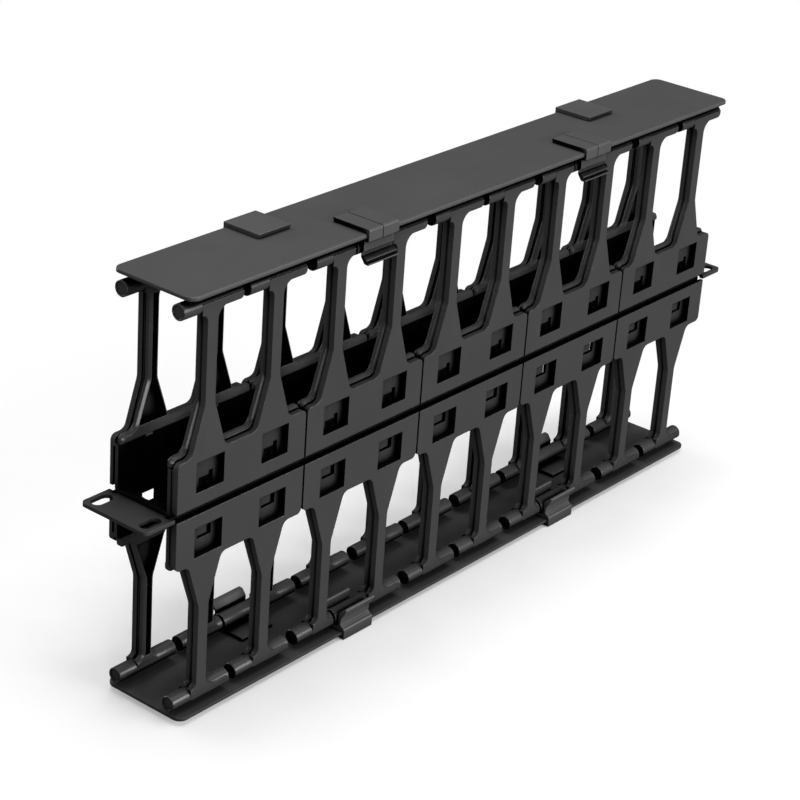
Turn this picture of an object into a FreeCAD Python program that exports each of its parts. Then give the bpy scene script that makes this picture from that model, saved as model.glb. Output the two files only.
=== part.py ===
"""Double-sided horizontal cable manager for a 19-inch rack, with hinged covers front and rear.

Millimetres. X runs along the rack's width, Y across the cable duct, Z out of the rack's front.
Two folded channels stand back to back. Each wall carries a row of clip-on finger modules, whose
T-bars are the pins that the cover's hinge clips turn on and its latch clips snap over.
The origin is under the middle, on the plane that the rear cover's four clip pads stand on.
"""
import math
import os

import FreeCAD
import Part

Vector = FreeCAD.Vector

# --- Rack ears, on the outer channel -------------------------------------------------------
slot_from_body = 10.3       # end of the channel's body to the slot's centre
ear_edge_margin = 8.75      # slot's centre to the ear's edge
ear_height = 43.2
ear_corner_r = 3.0
slot_span_y = 31.75
slot_length = 12.4
slot_width = 6.6
relief_width = 1.8          # bend relief between ear and wall

# --- Folded channels -----------------------------------------------------------------------
sheet = 2.0
bend_r = 2.2                # outside
channel_width = 36.4        # over the walls
wall_height = 24.8          # joint plane to the wall's free edge
port_width = 24.0           # cable pass-through ports in the two webs
port_margin = 2.5           # port's end to the end of its module

# --- Finger modules ------------------------------------------------------------------------
module_count = 5
module_pitch = 88.9
module_gap = 1.2
seat_gap = 0.1              # module plate to channel wall
plate = 3.9                 # over the ribs that stand on the wall
plate_skin = 2.0
plate_rib = 2.0
plate_split = 2.2           # joint plane to the plate's edge
lip_gap = 0.2
lip_thickness = 5.0
lip_depth = 8.1             # face of the plate to the nose of the lip and the back of the fingers
lip_end_r = 3.0
face_drop = 1.7             # lip's top down to the face plate's edge
window_width = 18.6
window_height = 15.9
window_from_split = 7.1
fit = 0.3

# Catches: legs behind the wall, hung from the lip, whose teeth stand in the wall's holes.
# Sides are counted across from the window's side, heights from the joint plane.
hole_sides = (5.6, 15.1)
hole_low = 6.4
hole_high_front = 14.0
hole_high_rear = 18.3
slot_wide = 2.8             # relief slot at the front hole's corner
slot_high = 16.0
leg_sides_front = (11.1, 15.9)
leg_sides_rear = (5.9, 12.4)
leg_low_front = 6.8
leg_low_rear = 12.9
leg_gap = 0.9               # behind the wall
leg_thickness = 1.3
tooth_width_front = 3.1
tooth_high_front = 10.4
tooth_high_rear = 17.0
tooth_sink = (1.0, 0.3)     # front and rear tooth, below the wall's face

finger_shift = (-1.7, -2.0)  # shaft centres, from the quarter points of the pitch
foot_width = 22.6
foot_r = 4.6
knee_height = 53.3
knee_r = 8.0
shaft_width = 6.6
face_plate = 3.0
rim = 1.7
seam_width = 1.0            # groove between the face plate and the bead behind it
seam_depth = 0.7
bead_chamfer = 1.2
crotch_inner_r = 3.5        # under the round part of the bar
crotch_outer_r = 6.8        # under the flat part

# --- T-bars, which are the covers' pins ----------------------------------------------------
pin_d = 8.2
pin_height = 102.8
bar_length = 38.2
bar_shift = (-0.8, -1.9)
bar_flat_low = 2.0          # below the pin's axis
bar_flat_high = 1.5
bar_flat_r = 2.6
pin_overrun = 1.6           # pin's end past the clip's side
bar_setback = 3.5           # shortened bar's end to the clip's side
pin_shoulder = 0.6          # clip's side to the flat part of the bar

# --- Covers --------------------------------------------------------------------------------
cover_inset = 3.05
cover_overhang = 7.55       # past the pin's axis
cover_thickness = 2.0
cover_corner_r = 5.0
cover_edge_r = 0.8
cover_lift = 6.5            # pin's axis to the cover's inner face

# --- Clips ---------------------------------------------------------------------------------
clip_width = 22.5
clip_reach = 23.5           # depth of the pads across the cover
pad_outer = 2.4
pad_inner = 2.0
clip_wrap = 1.2
clip_wall = 1.6
pad_undercut = 1.1
seam_line_x = 10.2          # fine groove across the latch clips
seam_line_width = 0.5
seam_line_depth = 0.3
clip_edge_gap = 0.05
hinge_play = 0.08           # radial
hinge_wall = 2.0
hinge_curl = 200.0          # degrees of the hook past the outer side
latch_play = 0.3
latch_neck = 4.0            # pin's axis down to the inside corner of wall and lever
latch_recess = 0.9          # shallow channel outside the wall, above the lever
latch_recess_high = 1.2     # its two edges, below the pin's axis
latch_recess_low = 3.3
lever_reach = 3.6           # tip of the lever past the latch wall
lever_drop = 7.4            # pin's axis down to the lever's underside
lever_bead = 0.9            # bead along the lever's tip, under a groove
lever_tip = 2.4             # lever's underside to the edge of its top face
front_clip_x = 88.9         # clips of the near row, from the middle
rear_clip_x = 133.35        # clips of the far row, on the seams of the modules

# --- Derived -------------------------------------------------------------------------------
body_length = module_count * module_pitch
half_body = body_length / 2
half_channel = channel_width / 2
face_y = half_channel + seat_gap + plate
pin_r = pin_d / 2
pin_y = face_y - pin_r
lip_base = wall_height + lip_gap
lip_top = lip_base + lip_thickness
cover_inside = pin_height + cover_lift
cover_outside = cover_inside + cover_thickness
lift = cover_outside + pad_outer
quarter = (module_pitch / 4, 3 * module_pitch / 4)


def rounded(corners, place):
    """Closed face through (a, b, radius) corners; place(a, b) gives the point in space."""
    flat = [Vector(a, b, 0) for a, b, r in corners]
    edges = []
    ends = []
    for i, (a, b, r) in enumerate(corners):
        here = flat[i]
        to_last = (flat[i - 1] - here).normalize()
        to_next = (flat[(i + 1) % len(flat)] - here).normalize()
        if r <= 0:
            ends.append((here, None, here))
            continue
        half = to_last.getAngle(to_next) / 2
        run = r / math.tan(half)
        middle = here + (to_last + to_next).normalize() * (r / math.sin(half) - r)
        ends.append((here + to_last * run, middle, here + to_next * run))
    for i, (start, middle, end) in enumerate(ends):
        if middle is not None:
            edges.append(Part.Arc(place(start), place(middle), place(end)).toShape())
        following = ends[(i + 1) % len(ends)][0]
        if end.distanceToPoint(following) > 1e-6:
            edges.append(Part.LineSegment(place(end), place(following)).toShape())
    return Part.Face(Part.Wire(edges))


def slab(corners, y_from, y_to):
    """Prism with an X-Z outline, from one Y to another."""
    face = rounded(corners, lambda p: Vector(p.x, y_from, p.y))
    return face.extrude(Vector(0, y_to - y_from, 0))


def bar(corners, x_from, x_to):
    """Prism with a Y-Z outline, from one X to another."""
    face = rounded(corners, lambda p: Vector(x_from, p.x, p.y))
    return face.extrude(Vector(x_to - x_from, 0, 0))


def plan(corners, z_from, z_to):
    """Prism with an X-Y outline, from one Z to another."""
    face = rounded(corners, lambda p: Vector(p.x, p.y, z_from))
    return face.extrude(Vector(0, 0, z_to - z_from))


def box(x0, x1, y0, y1, z0, z1):
    return Part.makeBox(x1 - x0, y1 - y0, z1 - z0, Vector(x0, y0, z0))


def rod(radius, x0, x1, y, z):
    return Part.makeCylinder(radius, x1 - x0, Vector(x0, y, z), Vector(1, 0, 0))


def oblong(cx, cy, length, width, z0, z1):
    """Slot-shaped cutter with round ends, along X."""
    r = width / 2
    x = length / 2
    y = width / 2
    corners = [(cx - x, cy - y, r), (cx + x, cy - y, r), (cx + x, cy + y, r), (cx - x, cy + y, r)]
    corners = [(a, b, r * 0.999) for a, b, r in corners]
    return plan(corners, z0, z1)


def near_far(shape, far):
    return shape.mirror(Vector(0, 0, 0), Vector(0, 1, 0)) if far else shape


def front_rear(shape, rear):
    return shape.mirror(Vector(0, 0, 0), Vector(0, 0, 1)) if rear else shape


def module_start(k):
    return -half_body + k * module_pitch


# --- Channels ------------------------------------------------------------------------------
def across_window(q, a, b, far):
    """Both X of a span counted from the window's side, from the other side on the far wall."""
    if far:
        return q + window_width / 2 - b, q + window_width / 2 - a
    return q - window_width / 2 + a, q - window_width / 2 + b


def catch_hole(q, far, front):
    """Hole in the near wall for the catch at q, with a relief slot beside the front one."""
    y0, y1 = -half_channel - 1, -half_channel + sheet + 1
    a, b = hole_sides
    x0, x1 = across_window(q, a, b, far)
    hole = box(x0, x1, y0, y1, hole_low, hole_high_front if front else hole_high_rear)
    if front:
        x0, x1 = across_window(q, b - slot_wide, b, far)
        hole = hole.fuse(box(x0, x1, y0, y1, hole_low, slot_high)).removeSplitter()
    return hole


def channel(z_sign):
    """One folded channel, joint plane at Z = 0, walls towards z_sign, with ports and catch holes."""
    inner_r = max(bend_r - sheet, 0.2)
    y = half_channel
    t = sheet
    h = wall_height
    section = [(-y, 0, bend_r), (y, 0, bend_r), (y, h, 0), (y - t, h, 0), (y - t, t, inner_r),
               (-y + t, t, inner_r), (-y + t, h, 0), (-y, h, 0)]
    body = bar(section, -half_body, half_body)
    cuts = []
    for k in range(module_count):
        middle = module_start(k) + module_pitch / 2
        cuts.append(oblong(middle, 0, module_pitch - 2 * port_margin, port_width, -1, sheet + 1))
        for q in quarter:
            for far in (False, True):
                cuts.append(near_far(catch_hole(module_start(k) + q, far, z_sign > 0), far))
    body = body.cut(Part.makeCompound(cuts))
    return front_rear(body, z_sign < 0)


def ears():
    """Both ears of the outer channel, with bend reliefs and rack slots."""
    inside = half_body - relief_width
    outside = half_body + slot_from_body + ear_edge_margin
    y = ear_height / 2
    r = ear_corner_r
    blank = plan([(half_body, -y, 0), (outside, -y, r), (outside, y, r), (half_body, y, 0)], -sheet, 0)
    tab_y = half_channel - bend_r
    blank = blank.fuse(box(inside, half_body, -tab_y, tab_y, -sheet, 0))
    for side in (-1, 1):
        y_slot = side * slot_span_y / 2
        blank = blank.cut(oblong(half_body + slot_from_body, y_slot, slot_length, slot_width, -sheet - 1, 1))
        y0 = side * (half_channel + 1)
        y1 = side * (half_channel - bend_r)
        relief = box(half_body - 0.1, half_body + relief_width, min(y0, y1), max(y0, y1), -sheet - 1, 1)
        blank = blank.cut(relief)
    return [blank, blank.mirror(Vector(0, 0, 0), Vector(1, 0, 0))]


# --- Finger modules ------------------------------------------------------------------------
def module_corners(bars, inset, z_base, z_lip):
    """X-Z outline of a module: plate or lip, two flared feet, shafts, and crotches under the bars."""
    x0 = module_gap / 2 + inset
    x1 = module_pitch - module_gap / 2 - inset
    z_lip = z_lip - inset
    corners = [(x1, z_base, 0), (x0, z_base, 0), (x0, z_lip, lip_end_r)]
    for i, (start, end, flat) in enumerate(bars):
        x = quarter[i] + finger_shift[i]
        foot = foot_width / 2 - inset
        shaft = shaft_width / 2 - inset
        z_round = pin_height - pin_r + inset
        z_flat = pin_height - bar_flat_low + inset
        r_left = x - shaft_width / 2 - flat
        r_right = min(crotch_outer_r, end - x - shaft_width / 2 - 0.3)
        corners += [(x - foot, z_lip, foot_r), (x - shaft, knee_height, knee_r), (x - shaft, z_round, r_left),
                    (x - shaft - r_left - 0.1, z_round, 0), (x - shaft - r_left - 0.1, pin_height, 0),
                    (x + shaft + r_right + 0.1, pin_height, 0), (x + shaft + r_right + 0.1, z_flat, 0),
                    (x + shaft, z_flat, r_right), (x + shaft, knee_height, knee_r), (x + foot, z_lip, foot_r)]
    corners.append((x1, z_lip, lip_end_r))
    return corners


def hollow_corners(x):
    """X-Z outline of the finger's hollow back, one rim inside its edges."""
    foot = foot_width / 2 - rim * 1.2
    shaft = shaft_width / 2 - rim
    z_high = pin_height - pin_r - rim
    left = [(x - foot, lip_top + rim, 0), (x - shaft, knee_height, 0), (x - shaft, z_high, 0)]
    right = [(2 * x - a, b, r) for a, b, r in reversed(left)]
    return left + right


def bead(bars):
    """The rounded bead behind the face: lip, finger rims and crotches in one sweep, edges chamfered."""
    y_nose = -(face_y - lip_depth)
    y_seam = -(face_y - face_plate - seam_width)
    solid = slab(module_corners(bars, 0, lip_base, lip_top), y_seam, y_nose)
    edges = []
    for e in solid.Edges:
        ys = [v.Y for v in e.Vertexes]
        middle = e.valueAt((e.FirstParameter + e.LastParameter) / 2)
        if max(ys) - min(ys) < 1e-6 and middle.z < pin_height - pin_r / 2:
            at_base = abs(middle.z - lip_base) < 1e-6
            if not (at_base and abs(ys[0] - y_seam) < 1e-6) and middle.z < pin_height - pin_r - 0.2:
                edges.append(e)
    return solid.makeChamfer(bead_chamfer, edges)


def t_bar(start, end, x_flat):
    """T-bar: a round pin, and the flat face in front of it that the shaft joins."""
    pin = rod(pin_r, start, end, -pin_y, pin_height)
    z0 = pin_height - bar_flat_low
    z1 = pin_height + bar_flat_high
    flat = slab([(x_flat, z0, 0), (end, z0, bar_flat_r), (end, z1, 0), (x_flat, z1, 0)],
                -face_y, -(face_y - face_plate))
    return pin.fuse(flat)


def catch(q, rear, far):
    """Leg behind the near wall, with its tooth in the wall's hole, for the window at q."""
    y_leg = -(half_channel - sheet - leg_gap)
    y_tooth = -(half_channel - tooth_sink[rear])
    a, b = leg_sides_rear if rear else leg_sides_front
    x0, x1 = across_window(q, a, b, far)
    leg_low = leg_low_rear if rear else leg_low_front
    leg = box(x0, x1, y_leg, y_leg + leg_thickness, leg_low, lip_base + 1)
    x0, x1 = across_window(q, a, b if rear else a + tooth_width_front, far)
    return leg.fuse(box(x0, x1, y_tooth, y_leg + 0.5, leg_low, tooth_high_rear if rear else tooth_high_front))


def module(bars, rear, far):
    """A near, front-row module from U = 0; bars holds (start, end, flat start) for each T-bar.

    The plate is a skin with a rib in the middle and one down its closed end, which swaps on the far wall.
    """
    x0 = module_gap / 2
    x1 = module_pitch - module_gap / 2
    y_back = -(face_y - plate)
    y_skin = -(face_y - plate_skin)
    y_face_back = -(face_y - face_plate)
    y_seam = -(face_y - face_plate - seam_width)
    face = slab(module_corners(bars, 0, plate_split, lip_top - face_drop), -face_y, y_face_back)
    core = slab(module_corners(bars, seam_depth, lip_base - 1, lip_top - face_drop), y_face_back, y_seam)
    backing = box(x0, x1, y_face_back, y_back, plate_split, lip_base)
    pieces = [core, backing, bead(bars)]
    cuts = []
    for i, (start, end, flat) in enumerate(bars):
        pieces.append(t_bar(start, end, flat))
        pieces.append(catch(quarter[i], rear, far))
        x = quarter[i] + finger_shift[i]
        cuts.append(slab(hollow_corners(x), y_face_back, -(face_y - lip_depth) + 1))
    middle = module_pitch / 2
    left_end = x0 - 1 if far else x0 + plate_rib
    right_end = x1 - plate_rib if far else x1 + 1
    z_pocket = lip_base - plate_rib
    cuts.append(box(left_end, middle - plate_rib / 2, y_skin, y_back + 0.001, plate_split - 1, z_pocket))
    cuts.append(box(middle + plate_rib / 2, right_end, y_skin, y_back + 0.001, plate_split - 1, z_pocket))
    z0 = plate_split + window_from_split
    for q in quarter:
        left = q - window_width / 2
        cuts.append(box(left, left + window_width, -face_y - 1, y_back + 0.001, z0, z0 + window_height))
    return face.fuse(pieces).cut(Part.makeCompound(cuts)).removeSplitter()


def bar_spans():
    """Plain start, end and flat start of both T-bars."""
    spans = []
    for i in (0, 1):
        middle = quarter[i] + bar_shift[i]
        start = middle - bar_length / 2
        flat = quarter[i] + finger_shift[i] - shaft_width / 2 - crotch_inner_r
        spans.append([start, middle + bar_length / 2, flat])
    return spans


def spans_beside_clips(k, clip_centres):
    """T-bars of module k with each clip given one long round pin, and the bar before it shortened."""
    spans = bar_spans()
    for centre in clip_centres:
        low = centre - clip_width / 2 - module_start(k)
        high = centre + clip_width / 2 - module_start(k)
        for i in (0, 1):
            x_shaft = quarter[i] + finger_shift[i]
            if low - module_pitch / 2 < x_shaft < low:
                spans[i][1] = low - bar_setback
            if high < x_shaft < high + module_pitch / 2:
                spans[i][0] = low - pin_overrun
                spans[i][2] = max(spans[i][2], high + pin_shoulder)
    return [tuple(s) for s in spans]


# --- Covers and clips ----------------------------------------------------------------------
def cover():
    x = half_body - cover_inset
    y = pin_y + cover_overhang
    r = cover_corner_r
    blank = plan([(-x, -y, r), (x, -y, r), (x, y, r), (-x, y, r)], cover_inside, cover_outside)
    rims = [e for e in blank.Edges if min(v.Z for v in e.Vertexes) > cover_outside - 1e-6]
    return blank.makeFillet(cover_edge_r, rims)


def clip_grip():
    """The part of every clip that grips the cover's edge, near side, from X = 0."""
    edge = pin_y + cover_overhang + clip_edge_gap
    outer = edge + clip_wrap
    inner = outer - clip_reach
    z_low = cover_inside - pad_inner
    corners = [(-outer, z_low, 0.5), (-outer, lift, 1.1), (-inner, lift, 0.4),
               (-(inner + pad_undercut), cover_outside, 0),
               (-edge, cover_outside, 0), (-edge, cover_inside, 0), (-inner, cover_inside, 0),
               (-inner, z_low, 0.8)]
    return bar(corners, 0, clip_width)


def hinge_clip():
    """Grip with a hook that wraps the pin from above, round its outer side, to its inner side."""
    y = -pin_y
    z = pin_height
    bore = pin_r + hinge_play
    outer = bore + hinge_wall
    hook = rod(outer, 0, clip_width, y, z)
    mouth = (180.0 + 360.0 - hinge_curl) % 360.0
    reach = 3 * outer
    a = math.radians(360.0 - mouth)
    wedge = [(y, z, 0), (y, z + reach, 0), (y + reach, z + reach, 0),
             (y + reach, z + reach * math.tan(math.radians(hinge_curl - 180.0)), 0)]
    hook = hook.cut(bar(wedge, -1, clip_width + 1))
    block = box(0, clip_width, y - outer, y, z, cover_inside - pad_inner + 0.5)
    solid = clip_grip().fuse([hook, block])
    solid = solid.cut(rod(bore, -1, clip_width + 1, y, z))
    return solid.removeSplitter()


def latch_clip():
    """Grip with a wall outside the pin and a thumb lever flaring out below it."""
    y = pin_y + pin_r + latch_play
    z = pin_height
    z_top = cover_inside - pad_inner + 0.5
    outer = y + clip_wall
    tip = outer + lever_reach
    low = z - lever_drop
    bead_top = low + lever_bead
    corners = [(-y, z_top, 0), (-y, z - latch_neck, 1.0), (-(outer + 0.8), low + 0.1, 1.0),
               (-tip, low, 0.5), (-tip, bead_top, 0.4), (-(tip - 1.8), bead_top + 0.2, 0),
               (-(tip - 1.8), bead_top + 0.7, 0), (-(tip - 1.2), low + lever_tip, 0.4),
               (-(outer - 0.3), z - latch_recess_low - 0.3, 0.6), (-(outer - latch_recess), z - latch_recess_low, 0),
               (-(outer - latch_recess), z - latch_recess_high, 0), (-outer, z - latch_recess_high + 0.2, 0),
               (-outer, z_top, 0)]
    lever = bar(corners, 0, clip_width)
    front = pin_y + cover_overhang + clip_edge_gap + clip_wrap
    x0, x1 = seam_line_x, seam_line_x + seam_line_width
    line = box(x0, x1, -front - 1, 0, lift - seam_line_depth, lift + 1)
    line = line.fuse(box(x0, x1, -front - 1, -front + seam_line_depth, cover_inside - pad_inner - 1, lift))
    return clip_grip().fuse(lever).cut(line).removeSplitter()


def placed_clip(shape, x_centre, far):
    return near_far(shape.translated(Vector(x_centre - clip_width / 2, 0, 0)), far)


# --- Output --------------------------------------------------------------------------------
def write(node, solids):
    shape = Part.makeCompound([s.translated(Vector(0, 0, lift)) for s in solids])
    shape.exportStep("parts/" + node + ".step")
    count = len(shape.Solids)
    print(node, count, "solid" if count == 1 else "solids", round(shape.Volume, 1), shape.isValid())


os.makedirs("parts", exist_ok=True)

outer_channel = channel(-1).fuse(ears()).removeSplitter()
write("ear_channel", [outer_channel])
write("back_channel", [channel(1)])

near_clips = (-front_clip_x, front_clip_x)
far_clips = (-rear_clip_x, rear_clip_x)
for side, far, clips in (("near", False, near_clips), ("far", True, far_clips)):
    for k in range(module_count):
        bars = spans_beside_clips(k, clips)
        place = Vector(module_start(k), 0, 0)
        front = near_far(module(bars, False, far).translated(place), far)
        rear = near_far(module(bars, True, far).translated(place), far)
        write("fingers_front_%s_%d" % (side, k + 1), [front])
        write("fingers_rear_%s_%d" % (side, k + 1), [front_rear(rear, True)])

hinge = hinge_clip()
latch = latch_clip()
for end, rear in (("front", False), ("rear", True)):
    write(end + "_cover", [front_rear(cover(), rear)])
    near, far = (hinge, latch) if rear else (latch, hinge)
    near_name, far_name = ("hinge", "latch") if rear else ("latch", "hinge")
    for hand, s in (("left", -1), ("right", 1)):
        near_clip = placed_clip(near, s * front_clip_x, False)
        far_clip = placed_clip(far, s * rear_clip_x, True)
        write("%s_%s_clip_%s" % (end, near_name, hand), [front_rear(near_clip, rear)])
        write("%s_%s_clip_%s" % (end, far_name, hand), [front_rear(far_clip, rear)])
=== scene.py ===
"""Horizontal cable manager: finishes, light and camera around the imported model."""

import math

import bmesh
import bpy
from mathutils import Matrix, Vector


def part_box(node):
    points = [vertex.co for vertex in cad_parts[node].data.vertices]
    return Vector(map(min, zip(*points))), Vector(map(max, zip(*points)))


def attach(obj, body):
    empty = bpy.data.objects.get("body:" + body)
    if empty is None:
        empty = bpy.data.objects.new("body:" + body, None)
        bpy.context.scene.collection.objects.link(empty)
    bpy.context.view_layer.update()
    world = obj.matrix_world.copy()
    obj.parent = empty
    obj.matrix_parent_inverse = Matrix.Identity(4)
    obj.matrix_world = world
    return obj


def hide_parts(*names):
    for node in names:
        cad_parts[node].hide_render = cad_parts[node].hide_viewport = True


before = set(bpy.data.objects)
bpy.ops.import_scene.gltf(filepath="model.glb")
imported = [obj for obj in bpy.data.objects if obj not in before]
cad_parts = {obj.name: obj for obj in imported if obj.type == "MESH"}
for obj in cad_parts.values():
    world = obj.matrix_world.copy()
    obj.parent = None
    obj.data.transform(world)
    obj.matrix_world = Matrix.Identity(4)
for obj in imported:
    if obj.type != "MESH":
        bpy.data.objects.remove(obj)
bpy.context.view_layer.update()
MM = 0.001

# --- Sizes, in millimetres from the joint plane of the two channels, on the part's middle ------
MODULES = 5
PITCH = 88.9
QUARTERS = (PITCH / 4, 3 * PITCH / 4)
WINDOW = 18.6
PIN_R = 4.1
PIN_Y = 18.1
PIN_Z = 102.8
BAR = 38.2
BAR_SHIFTS = (-0.8, -1.9)
SHAFT_SHIFTS = (-1.7, -2.0)
CLIP = 22.5
NEAR_CLIPS = (-88.9, 88.9)
FAR_CLIPS = (-133.35, 133.35)
PIN_OVERRUN = 1.6
WALL_OUTSIDE = 18.2
WALL_INSIDE = 16.2
WALL_HEIGHT = 24.8
DUCT_MARGIN = 0.4           # the duct's mask ends this far short of the walls' outside
WEB_MARGIN = 2.0            # window's side to the web's side
WEB_GAP = 0.1               # wall to the web behind it
WEB_THICKNESS = 0.7
WEB_LOW = 5
WEB_HIGH = 24
TOOTH_Y = 17.2
TOOTH_PROUD = 0.15
TOOTH = (11.1, 14.2, 6.8, 10.4)     # two sides from the window's side, then bottom and top
RIM_WIDTH = 1.0
RIM_HEIGHT = 0.35
RIM_ROUNDING = 0.2
RIM_TURNS = 40
# Cross-section of a hinge clip from the pin's axis: outwards across the duct, inwards from the cover.
CRADLE_OUTER = [
    (8.8, -10.9), (-14.7, -10.9), (-13.6, -8.5), (7.6, -8.5), (7.6, -6.5), (-14.7, -6.5),
    (-14.7, -4.5), (3.6, -4.5), (4.4, -3.7), (4.4, 3.2), (8.2, 7.0), (9.0, 7.1), (9.6, 6.4),
    (9.4, 5.7), (8.9, 5.3), (8.8, 4.7), (6.2, 0.5), (5.9, -3.0), (7.5, -4.4), (8.3, -4.6), (8.8, -5.6)]
CRADLE_INNER = [(-5.9, -4.6), (-5.9, 6.6), (-5.4, 7.1), (-4.9, 7.1), (-4.4, 6.6), (-4.4, -4.6)]
INNER_WALL_SHORT = 3.8      # the inner wall ends this far short of the clip's right side
CRADLE_EDGE = 0.35

# --- Camera --------------------------------------------------------------------------------
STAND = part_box("front_cover")[1].z / 2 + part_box("rear_cover")[0].z / 2
CAMERA_AT = Vector((-0.92285, -0.69674, 0.52669 + STAND))
CAMERA_AZIMUTH = math.radians(-51.938)
CAMERA_ELEVATION = math.radians(25.284)
CAMERA_ROLL = math.radians(4.1175)
LENS = 107.23
SENSOR = 36.0

# --- Light and floor, in metres and watts --------------------------------------------------
AMBIENT = 0.05
FLOOR_HALF = 6.0
FLOOR_DROP = 0.0002
FADE_START = 0.15           # distance from the middle of the part
FADE_END = 0.38
LAMPS = (
    ("overhead_softbox", (0.1, 0.0, 1.7), (0.1, 0, 0), (1.8, 1.6), 24),
    ("front_softbox", (0.5, -1.8, 0.6), (0, 0, 0.1), (1.6, 0.9), 37),
    ("low_strip", (-1.2, -1.05, 0.3), (0, 0, 0.1), (0.12, 0.6), 5),
    ("rear_softbox", (-0.4, 1.9, 0.6), (0, 0, 0.1), (1.6, 0.9), 16))

# --- Finishes: name, colour, roughness, grain in mm, its depth and the soft edges in m, openness below which shade is painted fully black --
PAINTED_SHADE_BLACK = 0.002                # colour of the painted shade in recesses and the duct
FINISHES = {
    "powder": ("powder_coat_black", (0.037, 0.037, 0.039), 0.50, 0.9, 0.00006, 0.0005, 0.5),
    "cover": ("cover_coat_black", (0.064, 0.064, 0.065), 0.52, 0.7, 0.00004, 0.0005, 0.1),
    "moulded": ("moulded_black", (0.056, 0.056, 0.057), 0.27, 0.6, 0.00004, 0.0006, 0.55),
    "clip": ("clip_moulded_black", (0.083, 0.083, 0.084), 0.36, 0.6, 0.00004, 0.0005, 0.6),
    # The cradle and the teeth's faces take weaker painted shade than the clips and the mouldings.
    "cradle": ("cradle_moulded_black", (0.083, 0.083, 0.084), 0.44, 0.6, 0.00004, 0.0004, 0.0),
    "face": ("moulded_face_black", (0.056, 0.056, 0.057), 0.36, 0.6, 0.00004, 0.0003, 0.0)}


def make_camera():
    """The camera's three axes come from its azimuth, elevation and roll."""
    az, el, roll = CAMERA_AZIMUTH, CAMERA_ELEVATION, CAMERA_ROLL
    ahead = Vector((-math.sin(az) * math.cos(el), math.cos(az) * math.cos(el), -math.sin(el)))
    right = Vector((math.cos(az), math.sin(az), 0))
    up = right.cross(ahead)
    turned_right = right * math.cos(roll) + up * math.sin(roll)
    turned_up = up * math.cos(roll) - right * math.sin(roll)
    data = bpy.data.cameras.new("camera")
    data.lens = LENS
    data.sensor_width = SENSOR
    data.clip_start = 0.05
    data.clip_end = 50
    data.dof.use_dof = False
    camera = bpy.data.objects.new("camera", data)
    turn = Matrix((turned_right, turned_up, -ahead)).transposed().to_4x4()
    camera.matrix_world = Matrix.Translation(CAMERA_AT) @ turn
    bpy.context.scene.collection.objects.link(camera)
    bpy.context.scene.camera = camera


# --- Shader helpers ------------------------------------------------------------------------
def new_group(name, inputs, outputs):
    """Node group with (name, socket type, default) inputs and (name, socket type) outputs."""
    group = bpy.data.node_groups.new(name, "ShaderNodeTree")
    for label, kind, value in inputs:
        socket = group.interface.new_socket(name=label, in_out="INPUT", socket_type=kind)
        if value is not None:
            socket.default_value = value
    for label, kind in outputs:
        group.interface.new_socket(name=label, in_out="OUTPUT", socket_type=kind)
    return group, group.nodes.new("NodeGroupInput"), group.nodes.new("NodeGroupOutput")


def grain_group():
    """Two values of 0 to 1: fine surface grain, and slow mottling. Both sizes are in millimetres."""
    group, given, out = new_group(
        "surface_grain",
        [("Grain Size", "NodeSocketFloat", 0.8), ("Mottle Size", "NodeSocketFloat", 30.0)],
        [("Grain", "NodeSocketFloat"), ("Mottle", "NodeSocketFloat")])
    nodes, link = group.nodes, group.links.new
    place = nodes.new("ShaderNodeTexCoord")
    for size, detail, value in (("Grain Size", 3.0, "Grain"), ("Mottle Size", 2.0, "Mottle")):
        scale = nodes.new("ShaderNodeMath")
        scale.operation = "DIVIDE"
        scale.inputs[0].default_value = 1 / MM
        link(given.outputs[size], scale.inputs[1])
        noise = nodes.new("ShaderNodeTexNoise")
        noise.inputs["Detail"].default_value = detail
        if value == "Grain":
            noise.inputs["Roughness"].default_value = 0.6
        link(place.outputs["Object"], noise.inputs["Vector"])
        link(scale.outputs[0], noise.inputs["Scale"])
        link(noise.outputs["Fac"], out.inputs[value])
    return group


GRAIN = grain_group()


def within(nodes, link, value, limit):
    """1 where the size of a coordinate stays under a limit, else 0."""
    size = nodes.new("ShaderNodeMath")
    size.operation = "ABSOLUTE"
    link(value, size.inputs[0])
    test = nodes.new("ShaderNodeMath")
    test.operation = "LESS_THAN"
    test.inputs[1].default_value = limit
    link(size.outputs[0], test.inputs[0])
    return test.outputs[0]


def duct_group():
    """Mask of what lies inside the channels' walls: 1 in there, 0 outside. Inside, the painted shade is
    stronger and reaches further.
    """
    group, _, out = new_group("duct_mask", [], [("Mask", "NodeSocketFloat")])
    nodes, link = group.nodes, group.links.new
    place = nodes.new("ShaderNodeTexCoord")
    lowered = nodes.new("ShaderNodeVectorMath")
    lowered.operation = "SUBTRACT"
    lowered.inputs[1].default_value = (0, 0, STAND)
    link(place.outputs["Object"], lowered.inputs[0])
    parts = nodes.new("ShaderNodeSeparateXYZ")
    link(lowered.outputs["Vector"], parts.inputs["Vector"])
    inside = None
    for axis, limit in (("X", MODULES * PITCH / 2), ("Y", WALL_OUTSIDE - DUCT_MARGIN), ("Z", WALL_HEIGHT)):
        test = within(nodes, link, parts.outputs[axis], limit * MM)
        if inside is None:
            inside = test
            continue
        both = nodes.new("ShaderNodeMath")
        both.operation = "MULTIPLY"
        link(inside, both.inputs[0])
        link(test, both.inputs[1])
        inside = both.outputs[0]
    link(inside, out.inputs["Mask"])
    return group


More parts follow.
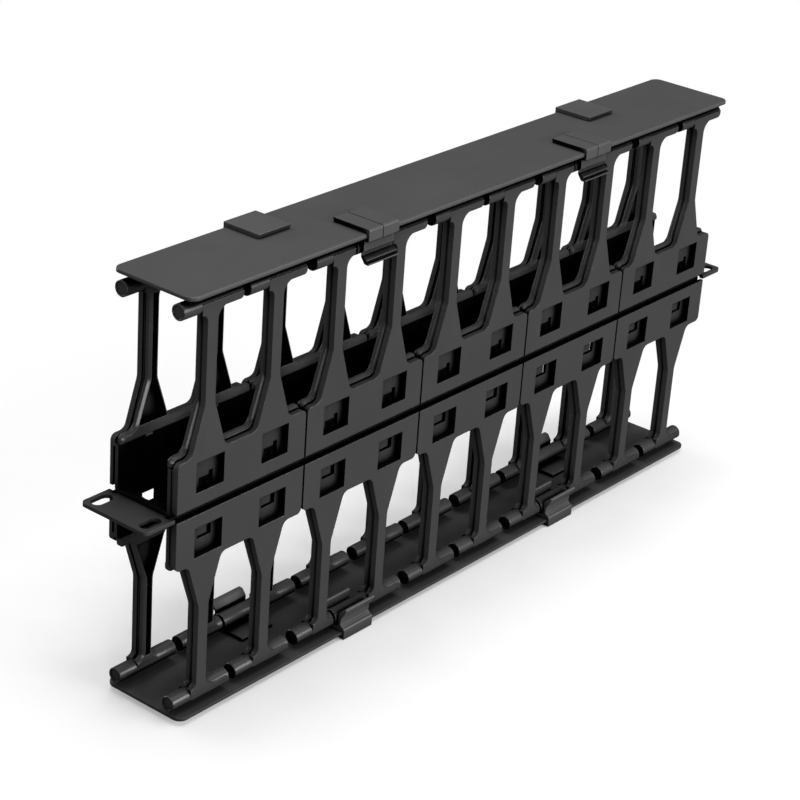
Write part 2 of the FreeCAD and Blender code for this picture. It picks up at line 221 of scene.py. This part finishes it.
def painted_shade_group():
    """Painted shade mask, from how open a spot is: 0 deep in a recess or the duct, where full shade is
    painted, 1 on an outer face.
    """
    group, given, out = new_group(
        "painted_shade_mask",
        [("Closed", "NodeSocketFloat", 0.5), ("Duct Closed", "NodeSocketFloat", 0.75)],
        [("Mask", "NodeSocketFloat")])
    nodes, link = group.nodes, group.links.new
    duct = nodes.new("ShaderNodeGroup")
    duct.node_tree = DUCT
    reach = nodes.new("ShaderNodeMapRange")
    reach.inputs["To Min"].default_value = 0.02
    reach.inputs["To Max"].default_value = 0.06
    link(duct.outputs["Mask"], reach.inputs["Value"])
    shade_from = nodes.new("ShaderNodeMix")
    link(duct.outputs["Mask"], shade_from.inputs["Factor"])
    link(given.outputs["Closed"], shade_from.inputs["A"])
    link(given.outputs["Duct Closed"], shade_from.inputs["B"])
    # Ambient occlusion decides where shade is painted; a spot as closed as the threshold is painted fully
    # black.
    opening = nodes.new("ShaderNodeAmbientOcclusion")
    opening.samples = 8
    link(reach.outputs["Result"], opening.inputs["Distance"])
    ramp = nodes.new("ShaderNodeMapRange")
    ramp.interpolation_type = "SMOOTHSTEP"
    ramp.inputs["From Max"].default_value = 0.97
    link(opening.outputs["AO"], ramp.inputs["Value"])
    link(shade_from.outputs["Result"], ramp.inputs["From Min"])
    link(ramp.outputs["Result"], out.inputs["Mask"])
    return group


DUCT = duct_group()
PAINTED_SHADE = painted_shade_group()


def finish_material(name, colour, roughness, grain_size, grain_depth, edge_radius, shade_from):
    """Black coated or moulded finish: colour and roughness mottle slowly, and recesses and the duct get
    painted shade: darker colour and less gloss.

    Grain and soft edges bend the normal. Spots less open than the given threshold are painted in full
    shade: deepest black and no gloss.
    """
    material = bpy.data.materials.new(name)
    material.use_nodes = True
    nodes, link = material.node_tree.nodes, material.node_tree.links.new
    shader = nodes["Principled BSDF"]
    grain = nodes.new("ShaderNodeGroup")
    grain.node_tree = GRAIN
    grain.inputs["Grain Size"].default_value = grain_size
    tint = nodes.new("ShaderNodeMix")
    tint.data_type = "RGBA"
    tint.inputs["A"].default_value = (*[c * 0.9 for c in colour], 1)
    tint.inputs["B"].default_value = (*[c * 1.1 for c in colour], 1)
    link(grain.outputs["Mottle"], tint.inputs["Factor"])
    shade_mask = nodes.new("ShaderNodeGroup")
    shade_mask.node_tree = PAINTED_SHADE
    shade_mask.inputs["Closed"].default_value = shade_from
    # Painted shade: recesses and the duct are mixed towards near black.
    shaded_colour = nodes.new("ShaderNodeMix")
    shaded_colour.data_type = "RGBA"
    shaded_colour.inputs["A"].default_value = (PAINTED_SHADE_BLACK, PAINTED_SHADE_BLACK, PAINTED_SHADE_BLACK, 1)
    link(shade_mask.outputs["Mask"], shaded_colour.inputs["Factor"])
    link(tint.outputs["Result"], shaded_colour.inputs["B"])
    link(shaded_colour.outputs["Result"], shader.inputs["Base Color"])
    # Painted shade also takes the gloss out of recesses and the duct.
    shaded_gloss = nodes.new("ShaderNodeMath")
    shaded_gloss.operation = "MULTIPLY"
    shaded_gloss.inputs[1].default_value = 0.5
    link(shade_mask.outputs["Mask"], shaded_gloss.inputs[0])
    link(shaded_gloss.outputs[0], shader.inputs["Specular IOR Level"])
    rough = nodes.new("ShaderNodeMapRange")
    rough.inputs["To Min"].default_value = roughness - 0.04
    rough.inputs["To Max"].default_value = roughness + 0.04
    link(grain.outputs["Mottle"], rough.inputs["Value"])
    link(rough.outputs["Result"], shader.inputs["Roughness"])
    soft = nodes.new("ShaderNodeBevel")
    soft.samples = 6
    soft.inputs["Radius"].default_value = edge_radius
    bump = nodes.new("ShaderNodeBump")
    bump.inputs["Strength"].default_value = 0.5
    bump.inputs["Distance"].default_value = grain_depth
    link(grain.outputs["Grain"], bump.inputs["Height"])
    link(soft.outputs["Normal"], bump.inputs["Normal"])
    link(bump.outputs["Normal"], shader.inputs["Normal"])
    return material


def dress():
    """Every CAD node gets the finish of its own piece."""
    for name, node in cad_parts.items():
        if "clip" in name:
            chosen = FINISH["clip"]
        elif "cover" in name:
            chosen = FINISH["cover"]
        elif "fingers" in name:
            chosen = FINISH["moulded"]
        else:
            chosen = FINISH["powder"]
        node.data.materials.clear()
        node.data.materials.append(chosen)


# --- Small mouldings on the chassis -----------------------------------------------------------
def bar_starts(k, clips):
    """Left ends of the two T-bars of module k. The bar to the right of a clip runs on under it."""
    start = (k - MODULES / 2) * PITCH
    starts = [start + quarter + shift - BAR / 2 for quarter, shift in zip(QUARTERS, BAR_SHIFTS)]
    for clip in clips:
        low, high = clip - CLIP / 2, clip + CLIP / 2
        for i, (quarter, shift) in enumerate(zip(QUARTERS, SHAFT_SHIFTS)):
            if high < start + quarter + shift < high + PITCH / 2:
                starts[i] = low - PIN_OVERRUN
    return starts


def windows():
    """Left side of every window in a row."""
    return [(k - MODULES / 2) * PITCH + q - WINDOW / 2 for k in range(MODULES) for q in QUARTERS]


def add_rim(verts, faces, x, y, z):
    """Rounded ring standing out to the left of a pin's flat end."""
    inner = PIN_R - RIM_WIDTH
    profile = [(PIN_R, 0.0), (PIN_R, 0.6), (PIN_R - RIM_ROUNDING, 1.0), (inner + RIM_ROUNDING, 1.0),
               (inner, 0.6), (inner, 0.0)]
    first = len(verts)
    for i in range(RIM_TURNS):
        a = 2 * math.pi * i / RIM_TURNS
        for r, out in profile:
            verts.append((x - out * RIM_HEIGHT, y + r * math.cos(a), z + r * math.sin(a)))
    n = len(profile)
    for i in range(RIM_TURNS):
        for j in range(n - 1):
            a = first + i * n + j
            b = first + (i + 1) % RIM_TURNS * n + j
            faces.append((a, b, b + 1, a + 1))


def add_block(verts, faces, x0, x1, y0, y1, z0, z1):
    """Box between two values on each axis."""
    first = len(verts)
    verts += [(x, y, z) for z in (z0, z1) for y in (y0, y1) for x in (x0, x1)]
    sides = ((0, 2, 3, 1), (4, 5, 7, 6), (0, 1, 5, 4), (2, 6, 7, 3), (0, 4, 6, 2), (1, 3, 7, 5))
    faces += [tuple(first + c for c in side) for side in sides]


def add_piece(name, verts, faces, finish, smooth=False):
    """Chassis piece from millimetres measured from the joint plane."""
    mesh = bpy.data.meshes.new(name)
    mesh.from_pydata([(x * MM, y * MM, z * MM + STAND) for x, y, z in verts], [], faces)
    mesh.materials.append(FINISH[finish])
    if smooth:
        mesh.shade_smooth()
    piece = bpy.data.objects.new(name, mesh)
    bpy.context.scene.collection.objects.link(piece)
    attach(piece, "chassis")


def make_rims():
    """Raised rims on the left end of every T-bar's pin."""
    verts, faces = [], []
    for side, clips in ((-1, NEAR_CLIPS), (1, FAR_CLIPS)):
        for k in range(MODULES):
            for start in bar_starts(k, clips):
                for z in (-PIN_Z, PIN_Z):
                    add_rim(verts, faces, start, side * PIN_Y, z)
    add_piece("pin_end_rims", verts, faces, "moulded", smooth=True)


def make_catch_backs():
    """Webs behind the front windows of both walls, and the faces of the near catches' teeth."""
    verts, faces = [], []
    face, back = WALL_INSIDE - WEB_GAP, WALL_INSIDE - WEB_GAP - WEB_THICKNESS
    for left in windows():
        x0, x1 = left + WEB_MARGIN, left + WINDOW - WEB_MARGIN
        add_block(verts, faces, x0, x1, -face, -back, WEB_LOW, WEB_HIGH)
        add_block(verts, faces, x0, x1, back, face, WEB_LOW, WEB_HIGH)
    add_piece("catch_webs", verts, faces, "powder")
    verts, faces = [], []
    a, b, low, high = TOOTH
    for left in windows():
        add_block(verts, faces, left + a, left + b, -TOOTH_Y - TOOTH_PROUD, -TOOTH_Y, low, high)
    add_piece("tooth_faces", verts, faces, "face")


# --- Hinge clips ---------------------------------------------------------------------------
def clip_point(x, out, inward, side, end):
    """Point of a clip from a pin's axis: outwards across the duct, and inwards from the cover."""
    return (x, side * (PIN_Y + out) * MM, STAND + end * (PIN_Z - inward) * MM)


def add_prism(bm, profile, x0, x1, side, end):
    """Solid of one cross-section, from x0 to x1."""
    rows = [[bm.verts.new(clip_point(x, out, inward, side, end)) for out, inward in profile]
            for x in (x0, x1)]
    n = len(profile)
    bm.faces.new(rows[0])
    bm.faces.new(rows[1][::-1])
    for i in range(n):
        j = (i + 1) % n
        bm.faces.new((rows[0][j], rows[0][i], rows[1][i], rows[1][j]))


def make_hinge_clips():
    """Grip on the cover's edge, with a cradle for the pin whose outer wall flares outwards."""
    for name in ("front_hinge_clip_left", "front_hinge_clip_right",
                 "rear_hinge_clip_left", "rear_hinge_clip_right"):
        low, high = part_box(name)
        side = 1 if low.y + high.y > 0 else -1
        end = 1 if name.startswith("front") else -1
        bm = bmesh.new()
        add_prism(bm, CRADLE_OUTER, low.x, high.x, side, end)
        add_prism(bm, CRADLE_INNER, low.x, high.x - INNER_WALL_SHORT * MM, side, end)
        bmesh.ops.recalc_face_normals(bm, faces=bm.faces)
        mesh = bpy.data.meshes.new("cradle_" + name)
        bm.to_mesh(mesh)
        bm.free()
        mesh.materials.append(FINISH["cradle"])
        piece = bpy.data.objects.new("cradle_" + name, mesh)
        bpy.context.scene.collection.objects.link(piece)
        soften = piece.modifiers.new("edges", "BEVEL")
        soften.width = CRADLE_EDGE * MM
        soften.segments = 3
        soften.limit_method = "ANGLE"
        soften.angle_limit = math.radians(25)
        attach(piece, "front_cover" if end > 0 else "rear_cover")
        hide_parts(name)


# --- Stage ---------------------------------------------------------------------------------
def make_floor():
    """Pale floor just under the part, fading into the white round it.

    Only the camera sees how pale it is, so it throws little light up into the part.
    """
    mesh = bpy.data.meshes.new("floor")
    r = FLOOR_HALF
    mesh.from_pydata([(-r, -r, 0), (r, -r, 0), (r, r, 0), (-r, r, 0)], [], [(0, 1, 2, 3)])
    floor = bpy.data.objects.new("floor", mesh)
    floor.location.z = -FLOOR_DROP
    bpy.context.scene.collection.objects.link(floor)
    material = bpy.data.materials.new("floor_white")
    material.use_nodes = True
    nodes, link = material.node_tree.nodes, material.node_tree.links.new
    shader = nodes["Principled BSDF"]
    shader.inputs["Base Color"].default_value = (0.97, 0.97, 0.97, 1)
    shader.inputs["Roughness"].default_value = 1.0
    shader.inputs["Specular IOR Level"].default_value = 0.0
    shader.inputs["Emission Color"].default_value = (1, 1, 1, 1)
    shader.inputs["Emission Strength"].default_value = 0.12
    place = nodes.new("ShaderNodeTexCoord")
    distance = nodes.new("ShaderNodeVectorMath")
    distance.operation = "LENGTH"
    link(place.outputs["Object"], distance.inputs[0])
    fade = nodes.new("ShaderNodeMapRange")
    fade.interpolation_type = "SMOOTHSTEP"
    fade.inputs["From Min"].default_value = FADE_START
    fade.inputs["From Max"].default_value = FADE_END
    link(distance.outputs["Value"], fade.inputs["Value"])
    white = nodes.new("ShaderNodeEmission")
    white.inputs["Color"].default_value = (1, 1, 1, 1)
    seen = nodes.new("ShaderNodeMixShader")
    link(fade.outputs["Result"], seen.inputs["Fac"])
    link(shader.outputs["BSDF"], seen.inputs[1])
    link(white.outputs["Emission"], seen.inputs[2])
    dim = nodes.new("ShaderNodeBsdfDiffuse")
    dim.inputs["Color"].default_value = (0.06, 0.06, 0.06, 1)
    path = nodes.new("ShaderNodeLightPath")
    mix = nodes.new("ShaderNodeMixShader")
    link(path.outputs["Is Camera Ray"], mix.inputs["Fac"])
    link(dim.outputs["BSDF"], mix.inputs[1])
    link(seen.outputs["Shader"], mix.inputs[2])
    link(mix.outputs["Shader"], nodes["Material Output"].inputs["Surface"])
    mesh.materials.append(material)


def make_world():
    """Faint soft light from all round; the camera sees plain white."""
    world = bpy.data.worlds.new("studio")
    bpy.context.scene.world = world
    world.use_nodes = True
    nodes, link = world.node_tree.nodes, world.node_tree.links.new
    soft = nodes["Background"]
    soft.inputs["Color"].default_value = (1, 1, 1, 1)
    soft.inputs["Strength"].default_value = AMBIENT
    white = nodes.new("ShaderNodeBackground")
    white.inputs["Color"].default_value = (1, 1, 1, 1)
    white.inputs["Strength"].default_value = 1.0
    path = nodes.new("ShaderNodeLightPath")
    mix = nodes.new("ShaderNodeMixShader")
    link(path.outputs["Is Camera Ray"], mix.inputs["Fac"])
    link(soft.outputs["Background"], mix.inputs[1])
    link(white.outputs["Background"], mix.inputs[2])
    link(mix.outputs["Shader"], nodes["World Output"].inputs["Surface"])


def make_softbox(name, at, aim, size, power):
    """Rectangular lamp that faces the point aim."""
    data = bpy.data.lights.new(name, "AREA")
    data.shape = "RECTANGLE"
    data.size, data.size_y = size
    data.energy = power
    lamp = bpy.data.objects.new(name, data)
    lamp.location = at
    lamp.rotation_euler = (Vector(aim) - Vector(at)).to_track_quat("-Z", "Y").to_euler()
    bpy.context.scene.collection.objects.link(lamp)


make_camera()
FINISH = {key: finish_material(*values) for key, values in FINISHES.items()}
dress()
make_rims()
make_hinge_clips()
make_catch_backs()
make_floor()
make_world()
for lamp in LAMPS:
    make_softbox(*lamp)

bpy.context.scene.view_settings.view_transform = "Standard"
